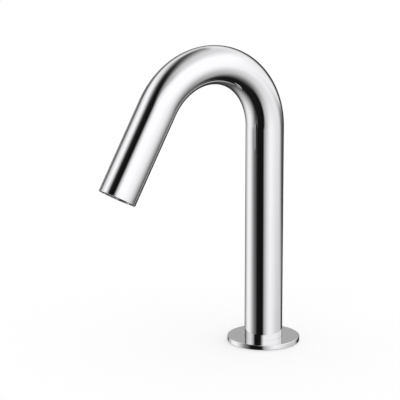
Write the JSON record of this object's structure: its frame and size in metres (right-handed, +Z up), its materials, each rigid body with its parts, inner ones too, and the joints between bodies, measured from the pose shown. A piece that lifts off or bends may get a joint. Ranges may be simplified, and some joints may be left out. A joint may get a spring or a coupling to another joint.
{
  "type": "sensor tap",
  "caption": "Deck-mounted touch-free gooseneck basin tap: bent round tube on a slim flange, with an infrared sensor beside the aerator and a threaded tail under the deck.",
  "frame": {"origin": "where the tube's axis meets the deck, on the flange's underside", "axes": "+Z up along the upright tube, -Y the way the spout reaches, +X to its right-hand side seen from the front"},
  "size_m": [0.0535, 0.169, 0.3033],
  "materials": {
    "chromed_brass": "mirror-polished chrome plate on brass",
    "turned_brass": "bare turned brass",
    "nickel_brass": "nickel-plated brass, satin",
    "zinc_steel": "zinc-plated steel, satin",
    "stainless_steel": "plain stainless steel",
    "black_rubber": "matt black EPDM rubber",
    "white_hose": "milky cross-linked polyethylene",
    "cable_sheath": "black flexible sheath",
    "grey_foam": "closed-cell grey foam",
    "black_acetal": "moulded black acetal",
    "white_acetal": "moulded white acetal",
    "grey_acetal": "moulded grey acetal",
    "infrared_window": "glossy dark red-black filter plastic",
    "circuit_board": "green lacquered glass-fibre board",
    "clear_diode": "clear epoxy",
    "dark_diode": "dark tinted epoxy"
  },
  "bodies": {
    "tap_body": {"spout_tube": "chromed_brass", "base_flange": "chromed_brass", "flange_seal": "black_rubber", "threaded_shank": "turned_brass", "base_plug": "black_acetal", "base_plug_o_ring": "black_rubber", "inlet_nipple": "nickel_brass", "nipple_clip": "stainless_steel", "cable_grommet": "black_rubber", "water_hose": "white_hose", "lower_hose_ferrule": "stainless_steel", "upper_hose_ferrule": "stainless_steel", "sensor_cable": "cable_sheath", "lower_hose_spacer": "grey_foam", "upper_hose_spacer": "grey_foam", "leg_hose_spacer": "grey_foam", "outlet_head": "black_acetal", "head_o_ring": "black_rubber", "head_screw": "stainless_steel", "sensor_housing": "black_acetal", "sensor_window": "infrared_window", "sensor_board": "circuit_board", "sensor_back_cap": "black_acetal", "emitter_diode": "clear_diode", "receiver_diode": "dark_diode"},
    "deck_washers": {"rubber_washer": "black_rubber", "steel_washer": "zinc_steel"},
    "nut": {"fixing_nut": "turned_brass"},
    "aerator_insert": {"stream_grid": "grey_acetal", "aerator_screen": "stainless_steel", "perforated_plate": "white_acetal", "flow_regulator": "white_acetal", "regulator_o_ring": "black_rubber", "aerator_gasket": "black_rubber"},
    "aerator_ring": {"aerator_shell": "chromed_brass"}
  },
  "joints": [
    {"name": "washer_slide", "type": "slide", "parent": "tap_body", "child": "deck_washers", "axis": [0, 0, 1], "range_m": [-0.02, 0.012]},
    {"name": "nut_turn", "type": "hinge", "parent": "deck_washers", "child": "nut", "pos_m": [0, 0, -0.029], "axis": [0, 0, 1], "range_deg": [-4800, 2880]},
    {"name": "aerator_slide", "type": "slide", "parent": "tap_body", "child": "aerator_insert", "axis": [0, -0.5, -0.866], "range_m": [0, 0.006]},
    {"name": "aerator_turn", "type": "hinge", "parent": "aerator_insert", "child": "aerator_ring", "pos_m": [0, -0.12687, 0.12658], "axis": [0, -0.5, -0.866], "range_deg": [0, 2160]}
  ],
  "couplings": [
    {"joint": "washer_slide", "follows": "nut_turn", "m_per_rad": 0.0002387},
    {"joint": "aerator_slide", "follows": "aerator_turn", "m_per_rad": 0.00015915}
  ]
}
